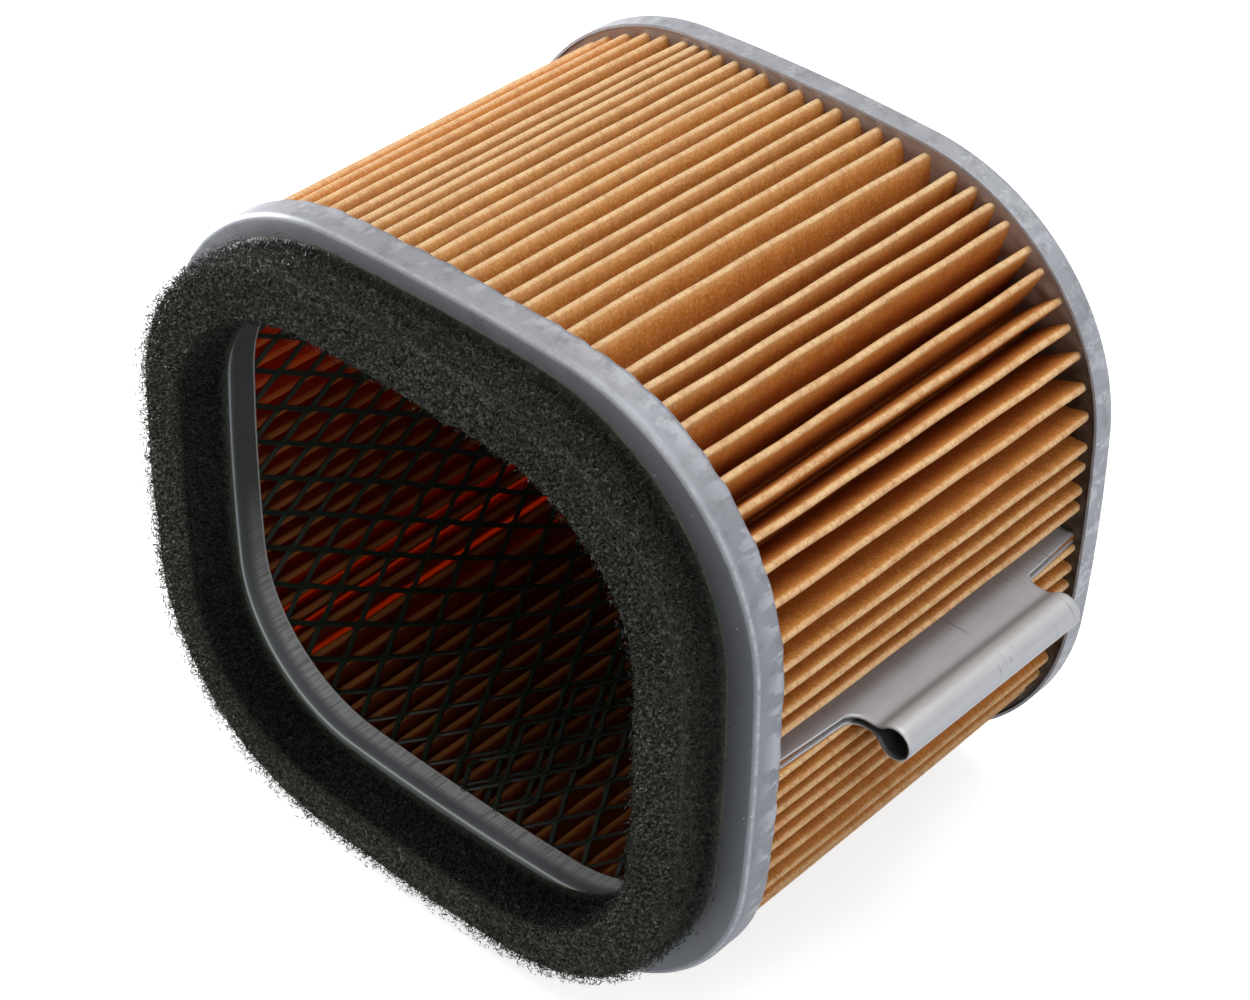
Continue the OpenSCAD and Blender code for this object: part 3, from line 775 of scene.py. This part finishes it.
def addScreen():
    s = screenSettings
    channelIn = capSettings["channel"] - capSettings["sheet"]
    middle = channelIn - s["thickness"] / 2 - s["wallGap"]
    length = cap.length(middle)
    width = length / s["columns"]
    low, high = screenBox[0].y, screenBox[1].y
    count = round((high - low) / s["pitch"] * s["stepsPerPitch"]) + 1
    y = np.linspace(low, high, count)
    phase = (y - low) / s["pitch"]
    # corners of the strand's section: tilted, so the louvred strands catch the light
    tilt = math.radians(s["tilt"])
    points, faces, edge, first = [], [], [], 0
    strands = 2 * s["columns"]
    lapStrands = round(s["lap"] / (width / 2))
    seam = length * 0.75 + s["lapLeft"]
    for k in range(strands + lapStrands):
        layer = 1 if k >= strands else 0
        centre = seam + k * width / 2 + (s["lapShift"] * width if layer else 0)
        swing = np.abs((phase + (0.5 if k % 2 else 0)) % 1 * 2 - 1) * 2 - 1
        swing = np.clip(swing * s["flatTurn"], -1, 1)
        along = centre + swing * (width / 4 - s["strand"] * s["joint"])
        slope = np.gradient(along, y)
        w = s["strand"] / 2 * np.sqrt(1 + slope ** 2) * s["slim"]
        t = s["thickness"] / 2
        for du, dv in ((-1, -1), (1, -1), (1, 1), (-1, 1)):
            u = du * w * math.cos(tilt) - dv * t * math.sin(tilt)
            v = du * w * math.sin(tilt) * s["louvre"] + dv * t * math.cos(tilt)
            stations = cap.stations(along + u, middle)
            x, z = inPlane(stations, middle + v + layer * s["lapDepth"])
            points.append(np.stack([x, y, z], -1))
            edge.append(np.full(count, 1.0 if dv > 0 else 0.0))
        faces.append(gridFaces(4, count, True, False, first))
        first += 4 * count
    piece = makeMesh("expanded_mesh", np.concatenate(points), faces, screenPaint(),
                     {"edge": np.concatenate(edge)}, smooth=False)
    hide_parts("inner_screen")


addScreen()
print("screen rolled")


foamSettings = {
    "width": 11.4 * mm,
    "cornerRadius": 41 * mm,
    "shift": (-1.6 * mm, -0.8 * mm),
    "edge": 1.6 * mm,
    "step": 0.30 * mm,
    "skin": 0.20 * mm,         # the highest spots of the skin lie this far under the free face
    "pits": 0.95 * mm,
    "highCells": 0.34,         # share of the skin's points that stay high
    "sag": 0.12 * mm,
    "glued": 4.5 * mm,         # half the width of the glued face that gets few points
    "wearAndSheen": (0.6 * mm, 0.9 * mm),       # inset of the painted highlight along the front edge, and its width
    "sheenDepth": 1.7 * mm,
    "sheenShare": 0.70,         # how much shallower, and so paler, the pits are there: the painted highlight
    "spikes": 95000,
    "spikeLength": 1.3 * mm,
    "spikeThick": 0.095 * mm,
    "fringe": (1.60 * mm, 2.80 * mm),   # furthest reach of a spike, and how far it may stay short of it
    "rootScatter": 0.12 * mm,
    "frayZone": (2.6 * mm, 1.6 * mm),   # inset up to which the outer side frays, and over which it fades
    "frayDepth": 0.45 * mm,    # more skin depth on the outer side, where the outline frays
    "fray": 0.18,              # and how many more spikes reach out there
    "tones": [(0.0, (0.128, 0.128, 0.104)), (0.18, (0.074, 0.075, 0.059)),   # from skin to pit: painted light on the skin, painted shade in the pits
              (0.40, (0.036, 0.038, 0.028)), (0.66, (0.0135, 0.0155, 0.0104)),
              (1.0, (0.005, 0.0065, 0.0042))],
    "shade": (0.0026, 0.0058, 0.0022),
}


def foamRubber():
    f = Finish("foam")
    pit, shade = f.attribute("pit"), f.attribute("shade")
    fine = f.noise(3600, 2, 0.6)
    clouds = f.noise(110, 3, 0.6)
    # painted light and shade: the cut cell walls are painted pale where they catch the light, the open cells
    # between them painted black
    height = pit + (fine - 0.5) * 0.38 + (clouds - 0.5) * 0.15
    base = f.ramp(height, foamSettings["tones"])
    base = f.blend(shade * 0.95, base, foamSettings["shade"])
    normal = f.bump(fine, 0.08 * mm, 0.6)
    return f.surface(f.principled(colour=base, roughness=0.6, normal=normal, specular=0.25))


def foamSection(baseY, frontFace):
    s = foamSettings
    e, w = s["edge"], s["width"]
    out = [(0, baseY)]
    out += [(a, frontFace + b) for a, b in arcPoints((e, e), e, 180, 270, 5)]
    out += [(a, frontFace + b) for a, b in arcPoints((w - e, e), e, 270, 360, 5)]
    return out + [(w, baseY)]


def addFoam():
    s = foamSettings
    halfWidth = (foamBox[1].x - foamBox[0].x) / 2
    halfHeight = (foamBox[1].z - foamBox[0].z) / 2
    outline = Outline(halfWidth, halfHeight, s["cornerRadius"], s["shift"])
    count = round(outline.length() / s["step"])
    stations = outline.around(count)
    section = fillIn(foamSection(foamBox[1].y, foamBox[0].y), s["step"])
    # the glued face is not seen, so few points do for it
    glued = section[:, 1] > foamBox[1].y - 0.01 * mm
    glued = glued & (np.abs(section[:, 0] - s["width"] / 2) < s["glued"])
    section = section[~glued | (np.arange(len(section)) % 5 == 0)]
    columns = len(section)
    inset = np.tile(section[:, 0], (count, 1))
    y = np.tile(section[:, 1], (count, 1))
    x, z = inPlane(stations, inset)
    points = np.stack([x, y, z], -1)
    # normals in the section plane, for pushing pits in and standing spikes out
    tangent = unit(np.roll(section, -1, 0) - np.roll(section, 1, 0))
    outwards = np.stack([tangent[:, 1], -tangent[:, 0]], -1)
    if np.sum((section - section.mean(0)) * outwards) < 0:
        outwards = -outwards
    cosA, sinA = np.cos(stations["angle"]), np.sin(stations["angle"])
    normals = np.stack([-outwards[None, :, 0] * cosA[:, None],
                        np.broadcast_to(outwards[None, :, 1], (count, columns)),
                        -outwards[None, :, 0] * sinA[:, None]], -1)
    rng = np.random.default_rng(5)
    free = np.clip((foamBox[1].y - section[:, 1]) / (1.0 * mm), 0, 1)
    pits = rng.uniform(0, 1, (count, columns))
    pits = np.where(rng.uniform(0, 1, pits.shape) < s["highCells"], pits * 0.35, 0.35 + pits * 0.65)
    # the front edge has shallower pits, which the pit tones paint paler: a painted highlight along the
    # rounded edge
    onEdge = np.exp(-((section[:, 0] - s["wearAndSheen"][0]) / s["wearAndSheen"][1]) ** 2)
    onEdge = onEdge * (section[:, 1] < foamBox[0].y + s["sheenDepth"])
    pits = pits * (1 - s["sheenShare"] * onEdge)
    sag = smoothNoise((points[..., 0], points[..., 1], points[..., 2]), 9, 14, 30 * mm) * s["sag"]
    frayed = np.clip((s["frayZone"][0] - section[:, 0]) / s["frayZone"][1], 0, 1)
    sunk = s["skin"] + frayed * s["frayDepth"]
    grown = points - normals * ((sunk + pits ** 0.7 * s["pits"] - sag) * free)[..., None]
    # painted shade: the foam is painted darker towards the glued base, over a wider band on the right, and on
    # the inner wall, fading in most softly at the lower left
    reach = (2.4 + 5.0 * np.clip(cosA, 0, 1) * (sinA > -0.9)) * mm
    shade = np.clip(1.15 - (foamBox[1].y - section[:, 1]) / reach[:, None], 0, 0.85)
    soft = (0.7 + 3.8 * np.clip(-(cosA + sinA) / 1.4, 0, 1)[:, None]) * mm
    inner = np.clip((section[:, 0] - s["width"] + 0.5 * mm + soft) / soft, 0, 1)
    shade = np.maximum(shade, inner)
    spikes = foamSpikes(rng, points, normals, free, frayed, shade, count * columns)
    values = {"shade": np.concatenate([shade.ravel(), spikes["shade"]]),
              "pit": np.concatenate([pits.ravel(), spikes["pit"]])}
    piece = makeMesh("foam_ring", np.concatenate([grown.reshape(-1, 3), spikes["points"]]),
                     [gridFaces(count, columns, True, True), spikes["faces"]], foamRubber(),
                     values, smooth=False)
    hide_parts("foam_seal")


def foamSpikes(rng, points, normals, free, frayed, shade, first):
    # slender three-sided spikes: the cut cell walls of the foam's skin. first is their first corner's number
    s = foamSettings
    n = s["spikes"]
    usable = np.flatnonzero(free > 0.5)
    r = rng.integers(0, points.shape[0], n)
    c = rng.choice(usable, n)
    root = points[r, c] + rng.normal(size=(n, 3)) * s["rootScatter"]
    lean = unit(normals[r, c] * 0.7 + rng.normal(size=(n, 3)))
    outwards = np.sum(lean * normals[r, c], axis=1, keepdims=True)
    lean = np.where(outwards < 0, lean - 2 * outwards * normals[r, c], lean)
    length = s["spikeLength"] * rng.uniform(0.5, 1.0, (n, 1))
    end = root + lean * length * 0.35
    # few spikes reach far out, so that the outline frays
    rarity = 0.25 + s["fray"] * frayed[c][:, None]
    reach = s["fringe"][0] - s["fringe"][1] * rng.uniform(0, 1, (n, 1)) ** rarity
    out = np.sum((end - points[r, c]) * normals[r, c], axis=1, keepdims=True)
    end = end + normals[r, c] * (reach - out)
    start = end - lean * length
    side = unit(np.cross(lean, rng.normal(size=lean.shape)))
    other = np.cross(lean, side)
    corners = [start + (side * math.cos(turn) + other * math.sin(turn)) * s["spikeThick"]
               for turn in (0, 2 * math.pi / 3, 4 * math.pi / 3)] + [end]
    base = first + np.arange(n)[:, None] * 4
    sides = [np.concatenate([base + a, base + b, base + 3], 1) for a, b in ((0, 1), (1, 2), (2, 0))]
    # the spikes take the pit tones, pale at their tips and dark at their roots: painted light and shade
    high = rng.uniform(0.15, 0.75, (n, 1))
    pit = np.concatenate([np.full((n, 3), 0.85), high], 1)
    return {"points": np.stack(corners, 1).reshape(-1, 3), "faces": np.concatenate(sides),
            "shade": np.repeat(shade[r, c], 4), "pit": pit.ravel()}


addFoam()
print("foam ring cut")


adhesiveSettings = {
    "dark": (0.035, 0.045, 0.025),
    "light": (0.09, 0.10, 0.06),
}


def glueFilm():
    f = Finish("adhesive")
    drips = f.noise(400, 3, 0.6)
    base = f.blend(f.limits(drips, 0.35, 0.7), adhesiveSettings["dark"], adhesiveSettings["light"])
    return f.surface(f.principled(colour=base, roughness=0.4, normal=f.bump(drips, 0.1 * mm, 0.6)))


dress("foam_adhesive", glueFilm())
print("foam glued")


clipSettings = {
    "sheet": 0.5 * mm,
    "leafInner": 58 * mm,
    "leafOuter": 64 * mm,
    "leafOffset": 0.70 * mm,
    "seam": -0.9 * mm,
    "loopCentre": (73.1 * mm, -1.6 * mm),
    "loopRadius": 2.95 * mm,
    "neck": 3.25 * mm,
    "loopRear": -20.25 * mm,
    "loopFront": -65.75 * mm,
    "notch": 3.5 * mm,
    "leafSteps": 12,
    "loopSteps": 64,
    "neckSteps": 12,
    "rows": 70,
    "edgePinch": 0.72,         # share of the thickness that is left at the sheet's cut ends
    "valleyBack": 2.9 * mm,    # the painted shade in the valley lies this far back from the loop's centre
    "valleyWidth": 1.1 * mm,
    "valleyShade": 0.45,
    "darkFrom": 0.8 * mm,      # the inner face is painted dark, painted shade, from this far outside the leaves
    "dark": (0.450, 0.458, 0.472),
    "light": (0.485, 0.493, 0.508),
    "under": (0.270, 0.280, 0.335),
}


def clipSteel():
    f = Finish("clip_steel")
    rolled = f.streaks((60, 1100, 60), detail=4)
    marks = f.streaks((110, 2600, 110), (0.25, 0.0, 0.15), 2, 0.4)
    gouges = f.streaks((260, 1100, 260), (0.5, 0.2, 0.8), 2, 0.4)
    brushed = f.streaks((1700, 160, 1700))
    clouds = f.noise(90, 3, 0.6)
    base = f.blend(f.limits(clouds, 0.3, 0.7), clipSettings["dark"], clipSettings["light"])
    base = f.blend(f.limits(brushed, 0.45, 0.65) * 0.16, base, (0.58, 0.59, 0.63))
    scratch = f.limits(marks, 0.66, 0.72) * f.limits(clouds, 0.44, 0.56)
    gouge = f.limits(gouges, 0.75, 0.77)
    # the under side of the loop is painted darker and bluer: painted shade
    base = f.blend(f.limits(f.position()[2], 0.0010, -0.0020) * 0.60, base, clipSettings["under"])
    base = f.blend(scratch * 0.50, base, (0.15, 0.155, 0.15))
    base = f.blend(gouge * 0.45, base, (0.11, 0.11, 0.11))
    # painted shade in the hollows inside the neck and loop and in the outer valley
    base = f.blend(f.attribute("hollow") * 0.9, base, (0.014, 0.018, 0.012))
    roughness = f.limits(clouds + rolled * 0.5, 0.4, 1.0, 0.38, 0.46)
    normal = f.bump(rolled * 0.25 - scratch * 0.5 - gouge, 0.02 * mm, 0.5)
    return f.surface(f.principled(colour=base, metallic=0.30, roughness=roughness,
                                  normal=normal, specular=0.4))


def clipLine():
    # middle line of the sheet's section and its headings, from the upper leaf round the loop
    s = clipSettings
    offset, neck, loop = s["leafOffset"], s["neck"], s["loopRadius"]
    cx, cz = s["loopCentre"]
    seam = s["seam"]

    def neckCentre(side):
        z = seam + side * (offset + neck)
        return complex(cx - math.sqrt((loop + neck) ** 2 - (z - cz) ** 2), z)

    def arc(centre, radius, first, last, steps, turn):
        return [(centre + radius * np.exp(1j * a), a + turn) for a in np.linspace(first, last, steps + 1)]

    right = math.pi / 2
    upper, lower = neckCentre(1), neckCentre(-1)
    toUpper = np.angle(upper - complex(cx, cz))
    toLower = np.angle(lower - complex(cx, cz))
    leaf = np.linspace(s["leafInner"], upper.real, s["leafSteps"], endpoint=False)
    line = [(complex(x, seam + offset), 0.0) for x in leaf]
    line += arc(upper, neck, -right, toUpper - math.pi, s["neckSteps"], right)
    line += arc(complex(cx, cz), loop, toUpper, toLower, s["loopSteps"], -right)[1:-1]
    line += arc(lower, neck, toLower + math.pi, right, s["neckSteps"], right)
    leaf = np.linspace(lower.real, s["leafInner"], s["leafSteps"] + 1)[1:]
    line += [(complex(x, seam - offset), math.pi) for x in leaf]
    return [np.array(column) for column in zip(*line)]


def addClip():
    # the sheet is a grid: across it runs the section, along it the element's length, and
    # outside the leaves its ends follow the rounded notches beside the loop
    s = clipSettings
    spots, heads = clipLine()
    low, high = clipBox[0].y, clipBox[1].y
    t, rows = s["sheet"] / 2, s["rows"]
    reach = np.clip(spots.real - s["leafOuter"], 0, None)
    r = s["notch"]
    bend = np.where(reach < r, r - np.sqrt(np.clip(r ** 2 - (r - np.minimum(reach, r)) ** 2, 0, None)), 0)
    inLoop = reach > 1e-7
    front = np.where(inLoop, s["loopFront"] - bend, low)
    rear = np.where(inLoop, s["loopRear"] + bend, high)
    u = np.linspace(0, 1, rows)[None, :]
    y = front[:, None] + (rear - front)[:, None] * u
    # section points on both faces; the sheet thins at its cut ends
    normal = (1j * np.exp(1j * heads))[:, None]
    pinch = np.ones(rows)
    pinch[[0, -1]] = s["edgePinch"]
    left = spots[:, None] + normal * t * pinch
    right = spots[:, None] - normal * t * pinch
    loop = np.concatenate([left, right[::-1]])
    yAll = np.concatenate([y, y[::-1]])
    points = np.stack([loop.real, yAll, loop.imag], -1)
    # painted shade: dark inside the neck and the loop, and a little in the outer valley between leaf and loop
    valley = np.exp(-((spots.real - s["loopCentre"][0] + s["valleyBack"]) / s["valleyWidth"]) ** 2)
    valley = valley * s["valleyShade"] * (np.abs(spots.imag - s["seam"]) < s["loopRadius"])
    inner = np.concatenate([valley, (spots.real[::-1] > s["leafOuter"] + s["darkFrom"]) * 1.0])
    piece = makeMesh("folded_clip", points.reshape(-1, 3), sheetFaces(len(loop), rows), clipSteel(),
                     {"hollow": np.repeat(inner, rows)})
    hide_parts("seam_clip")


addClip()
print("clip folded")


studioSettings = {
    "floorSize": 6.0,          # half its width
    "floorTone": 0.55,
    "floorGlow": 0.72,
    "worldLight": 0.40,
    "aim": (0, -0.045, 0),
    "lamps": [
        # place, size, power
        ((0.10, 0.05, 1.10), 0.9, 10.0),
        ((0.95, -0.35, 0.45), 0.7, 3.8),
        ((-0.35, -1.00, 0.45), 0.7, 1.8),
        ((-0.90, -0.08, 0.02), 0.2, 18.0),
    ],
}


white = (1, 1, 1, 1)


def addFloor():
    f = Finish("floor")
    path = f.add("ShaderNodeLightPath", output="Is Camera Ray")
    glossy = Signal(f, path.socket.node.outputs["Is Glossy Ray"])
    base = f.blend(f.noise(6, 2, 0.5) * 0.04, (studioSettings["floorTone"],) * 3, (0.5, 0.5, 0.5))
    matte = f.principled(colour=base, roughness=0.9, specular=0.1)
    glow = f.add("ShaderNodeEmission", {}, {"Color": white, "Strength": studioSettings["floorGlow"]},
                 "Emission")
    both = f.add("ShaderNodeAddShader", {}, {0: matte, 1: glow}, "Shader")
    shown = path.mix("MAXIMUM", path, glossy)
    f.surface(f.add("ShaderNodeMixShader", {}, {"Fac": shown, 1: matte, 2: both}, "Shader"))
    low, size = cadBounds[0].z, studioSettings["floorSize"]
    mesh = bpy.data.meshes.new("floor")
    mesh.from_pydata([(-size, -size, low), (size, -size, low), (size, size, low), (-size, size, low)],
                     [], [(0, 1, 2, 3)])
    mesh.materials.append(f.owner)
    addObject("floor", mesh)


def addLights():
    aim = Vector(studioSettings["aim"])
    for i, (place, size, power) in enumerate(studioSettings["lamps"]):
        data = bpy.data.lights.new("softbox_%d" % i, "AREA")
        data.shape, data.size, data.energy = "DISK", size, power
        lamp = addObject("softbox_%d" % i, data)
        lamp.location = place
        lamp.rotation_mode = "QUATERNION"
        lamp.rotation_quaternion = (Vector(place) - aim).to_track_quat("Z", "Y")
    f = Finish("studio", bpy.data.worlds)
    path = f.add("ShaderNodeLightPath", output="Is Camera Ray")
    soft = f.add("ShaderNodeBackground", {}, {"Color": white, "Strength": studioSettings["worldLight"]})
    plain = f.add("ShaderNodeBackground", {}, {"Color": white})
    both = f.add("ShaderNodeMixShader", {}, {"Fac": path, 1: soft, 2: plain})
    bpy.context.scene.world = f.surface(both, "ShaderNodeOutputWorld")
    bpy.context.scene.view_settings.view_transform = "Standard"


addFloor()
addLights()
print("studio lit")
